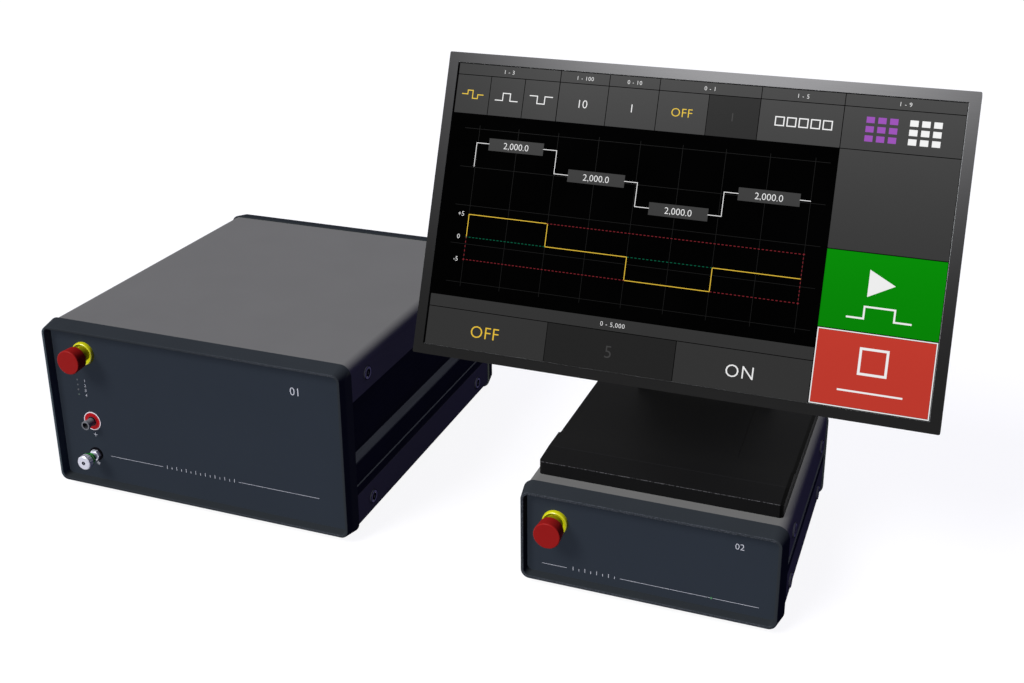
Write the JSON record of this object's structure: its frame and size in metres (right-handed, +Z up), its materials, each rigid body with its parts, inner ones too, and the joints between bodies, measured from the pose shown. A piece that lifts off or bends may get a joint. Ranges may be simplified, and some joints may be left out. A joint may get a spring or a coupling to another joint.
{
  "type": "electroporator",
  "caption": "Bench electroporation set: high-voltage pulse generator, control unit and tilting touch display on a folding stand, with push-and-twist stops and a screw ground terminal.",
  "frame": {"origin": "bottom centre of the whole set, on the bench", "axes": "+X to the right along the bench, +Y away from the user, +Z up; all fronts face -Y"},
  "size_m": [0.924, 0.4116, 0.4943],
  "materials": {
    "frame_grey": "fine textured powder coat, blue-grey",
    "panel_grey": "smooth matt lacquer, blue-grey",
    "cover_grey": "fine textured powder coat, mid grey",
    "rail_dark": "dark anodised extrusion",
    "screw_steel": "zinc plated",
    "washer_bright": "turned, bright",
    "rubber_black": "matt moulded rubber",
    "stop_yellow": "moulded, semi gloss",
    "stop_red": "moulded, satin",
    "stop_dark": "moulded, satin",
    "moulding_black": "moulded, fine grain",
    "lens_clear": "clear light pipe",
    "socket_grey": "dull nickel",
    "ring_red": "printed ring",
    "terminal_bright": "bright nickel",
    "ring_green": "moulded ring",
    "guard_black": "black lacquer",
    "module_metal": "folded aluminium",
    "board_green": "laminate with soldered parts",
    "stand_black": "matt black lacquer on casting",
    "arm_black": "matt black lacquer on casting",
    "back_black": "moulded, fine grain",
    "bezel_grey": "brushed, grey",
    "panel_module": "liquid crystal module",
    "screen_glass": "touch glass over a lit screen"
  },
  "bodies": {
    "cases": {"gen_front_frame": "frame_grey", "gen_rear_frame": "frame_grey", "gen_top_cover": "cover_grey", "gen_bottom_cover": "cover_grey", "gen_side_rails": "rail_dark", "gen_front_panel": "panel_grey", "gen_rear_panel": "panel_grey", "ctl_front_frame": "frame_grey", "ctl_rear_frame": "frame_grey", "ctl_top_cover": "cover_grey", "ctl_bottom_cover": "cover_grey", "ctl_side_rails": "rail_dark", "ctl_front_panel": "panel_grey", "ctl_rear_panel": "panel_grey", "cup_washers": "washer_bright", "cover_screws": "screw_steel", "rubber_feet": "rubber_black", "gen_stop_collar": "stop_yellow", "gen_stop_contacts": "moulding_black", "ctl_stop_collar": "stop_yellow", "ctl_stop_contacts": "moulding_black", "panel_nuts": "moulding_black", "status_lights": "lens_clear", "light_board": "board_green", "hv_socket": "socket_grey", "hv_ring": "ring_red", "ground_washer": "moulding_black", "ground_nut": "terminal_bright", "ground_post": "terminal_bright", "gen_mains_inlet": "moulding_black", "ctl_mains_inlet": "moulding_black", "link_sockets": "socket_grey", "fan_frame": "moulding_black", "fan_guard": "guard_black", "fixing_screws": "screw_steel", "hv_supply": "module_metal", "pulse_board": "board_green", "heat_sinks": "module_metal", "capacitor_bank": "board_green", "control_computer": "board_green", "board_standoffs": "screw_steel", "stand_base": "stand_black"},
    "gen_stop_plunger": {"gen_stop_plunger": "stop_dark"},
    "gen_stop_head": {"gen_stop_head": "stop_red"},
    "ctl_stop_plunger": {"ctl_stop_plunger": "stop_dark"},
    "ctl_stop_head": {"ctl_stop_head": "stop_red"},
    "ground_collar": {"ground_collar": "ring_green"},
    "ground_cap": {"ground_cap": "terminal_bright"},
    "gen_mains_rocker": {"gen_mains_rocker": "moulding_black"},
    "ctl_mains_rocker": {"ctl_mains_rocker": "moulding_black"},
    "fan_rotor": {"fan_rotor": "moulding_black"},
    "stand_arm": {"stand_arm": "arm_black", "arm_pins": "screw_steel"},
    "display": {"display_bracket": "arm_black", "bracket_screws": "screw_steel", "display_back": "back_black", "display_board": "board_green", "display_panel": "panel_module", "display_bezel": "bezel_grey", "touch_glass": "screen_glass"}
  },
  "joints": [
    {"name": "gen_stop_push", "type": "slide", "parent": "cases", "child": "gen_stop_plunger", "axis": [0, 1, 0], "range_m": [0, 0.004]},
    {"name": "gen_stop_twist", "type": "hinge", "parent": "gen_stop_plunger", "child": "gen_stop_head", "pos_m": [-0.4149, -0.17945, 0.1639], "axis": [0, 1, 0], "range_deg": [0, 30], "stiffness_Nm_per_rad": 0.05},
    {"name": "ctl_stop_push", "type": "slide", "parent": "cases", "child": "ctl_stop_plunger", "axis": [0, 1, 0], "range_m": [0, 0.004]},
    {"name": "ctl_stop_twist", "type": "hinge", "parent": "ctl_stop_plunger", "child": "ctl_stop_head", "pos_m": [0.1215, -0.17945, 0.0704], "axis": [0, 1, 0], "range_deg": [0, 30], "stiffness_Nm_per_rad": 0.05},
    {"name": "ground_collar_slide", "type": "slide", "parent": "cases", "child": "ground_collar", "axis": [0, -1, 0], "range_m": [0, 0.004]},
    {"name": "ground_cap_turn", "type": "hinge", "parent": "ground_collar", "child": "ground_cap", "pos_m": [-0.4149, -0.17945, 0.042], "axis": [0, -1, 0], "range_deg": [0, 1440]},
    {"name": "gen_mains_switch", "type": "hinge", "parent": "cases", "child": "gen_mains_rocker", "pos_m": [-0.39935, 0.19305, 0.1123], "axis": [-1, 0, 0], "range_deg": [0, 16]},
    {"name": "ctl_mains_switch", "type": "hinge", "parent": "cases", "child": "ctl_mains_rocker", "pos_m": [0.13, 0.07515, 0.0675], "axis": [-1, 0, 0], "range_deg": [0, 16]},
    {"name": "fan_spin", "type": "hinge", "parent": "cases", "child": "fan_rotor", "pos_m": [-0.17935, 0.19505, 0.101], "axis": [0, 1, 0], "continuous": true},
    {"name": "arm_fold", "type": "hinge", "parent": "cases", "child": "stand_arm", "pos_m": [0.215, 0.04295, 0.1276], "axis": [1, 0, 0], "range_deg": [-25, 18]},
    {"name": "display_tilt", "type": "hinge", "parent": "stand_arm", "child": "display", "pos_m": [0.215, -0.05766, 0.33665], "axis": [1, 0, 0], "range_deg": [-38, 16]}
  ],
  "couplings": [
    {"joint": "ground_collar_slide", "follows": "ground_cap_turn", "m_per_rad": 0.000159}
  ]
}
